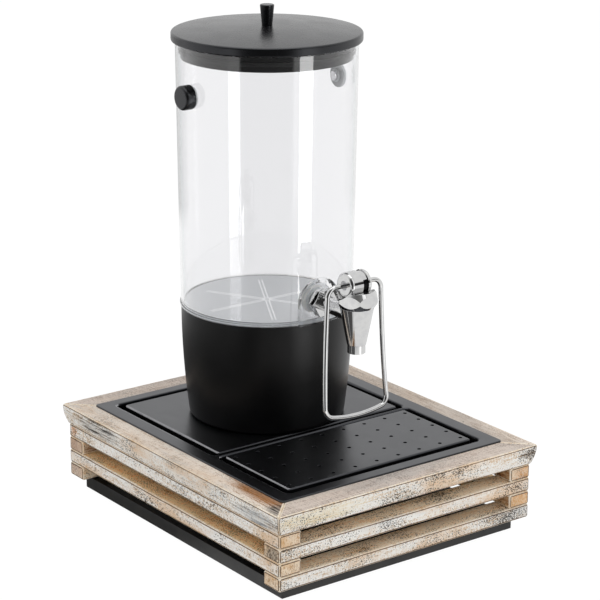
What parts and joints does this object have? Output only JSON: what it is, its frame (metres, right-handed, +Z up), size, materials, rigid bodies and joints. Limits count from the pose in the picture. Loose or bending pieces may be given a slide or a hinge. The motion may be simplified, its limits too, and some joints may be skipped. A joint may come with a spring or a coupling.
{
  "type": "juice dispenser",
  "caption": "Clear cylindrical drink dispenser with a black base and lid and a push-back wire lever tap, on a whitewashed slatted crate with a drip tray.",
  "frame": {"origin": "middle of the crate's footprint, on the table under the rubber feet", "axes": "+Z up along the tank, the tap looks to -Y, +X to the right as seen from the back"},
  "size_m": [0.29, 0.345, 0.4681],
  "materials": {
    "whitewashed_wood": "weathered whitewash",
    "dowel_wood": "plain",
    "board_black": "dark stain",
    "foot_rubber": "matte",
    "screw_steel": "satin",
    "tray_black": "satin",
    "clear_plastic": "clear, polished",
    "base_black": "matte",
    "gel_pack": "smooth",
    "lid_black": "satin",
    "pale_silicone": "smooth",
    "polished_chrome": "mirror",
    "turned_steel": "turned",
    "nut_plastic": "satin",
    "valve_rubber": "matte"
  },
  "bodies": {
    "crate": {"rail_front": "whitewashed_wood", "rail_back": "whitewashed_wood", "rail_left": "whitewashed_wood", "rail_right": "whitewashed_wood", "side_slat_upper_left": "whitewashed_wood", "side_slat_upper_right": "whitewashed_wood", "side_slat_lower_left": "whitewashed_wood", "side_slat_lower_right": "whitewashed_wood", "end_slat_upper_front": "whitewashed_wood", "end_slat_upper_back": "whitewashed_wood", "end_slat_lower_front": "whitewashed_wood", "end_slat_lower_back": "whitewashed_wood", "base_board": "board_black", "rubber_feet": "foot_rubber", "corner_dowels": "dowel_wood", "board_screws": "screw_steel"},
    "tray": {"drip_tray": "tray_black"},
    "plate": {"stand_plate": "tray_black"},
    "grid": {"drip_grid": "tray_black"},
    "tank": {"tank_shell": "clear_plastic", "tank_base": "base_black", "tank_screws": "screw_steel", "base_cover": "base_black", "cover_screws": "screw_steel", "cooling_pack": "gel_pack", "side_button": "lid_black", "side_cap": "pale_silicone", "button_gasket": "pale_silicone", "button_washers": "pale_silicone", "button_screws": "screw_steel", "tap_shank": "polished_chrome", "outer_gasket": "pale_silicone", "inner_gasket": "pale_silicone", "shank_nut": "nut_plastic", "tap_body": "polished_chrome", "tap_bonnet": "polished_chrome", "pivot_head": "polished_chrome", "head_caps": "polished_chrome", "valve_spring": "screw_steel"},
    "lid": {"lid_disc": "lid_black", "lid_plug": "lid_black", "lid_seal": "valve_rubber", "lid_knob": "lid_black", "knob_screw": "screw_steel"},
    "lever": {"cam_shaft": "turned_steel", "wire_bail": "polished_chrome"},
    "valve": {"valve_stem": "turned_steel", "valve_washer": "valve_rubber"}
  },
  "joints": [
    {"name": "tray_lift", "type": "slide", "parent": "crate", "child": "tray", "axis": [0, 0, 1], "range_m": [0, 0.04]},
    {"name": "plate_lift", "type": "slide", "parent": "tray", "child": "plate", "axis": [0, 0, 1], "range_m": [0, 0.04]},
    {"name": "grid_lift", "type": "slide", "parent": "tray", "child": "grid", "axis": [0, 0, 1], "range_m": [0, 0.025]},
    {"name": "tank_lift", "type": "slide", "parent": "plate", "child": "tank", "axis": [0, 0, 1], "range_m": [0, 0.06]},
    {"name": "lid_lift", "type": "slide", "parent": "tank", "child": "lid", "axis": [0, 0, 1], "range_m": [0, 0.08]},
    {"name": "lever_swing", "type": "hinge", "parent": "tank", "child": "lever", "pos_m": [0, -0.0867, 0.241], "axis": [1, 0, 0], "range_deg": [0, 20], "stiffness_Nm_per_rad": 0.1},
    {"name": "valve_lift", "type": "slide", "parent": "tank", "child": "valve", "axis": [0, 0, 1], "range_m": [0, 0.0016], "deforming": ["valve_spring"]}
  ],
  "couplings": [
    {"joint": "valve_lift", "follows": "lever_swing", "m_per_rad": 0.004409}
  ]
}
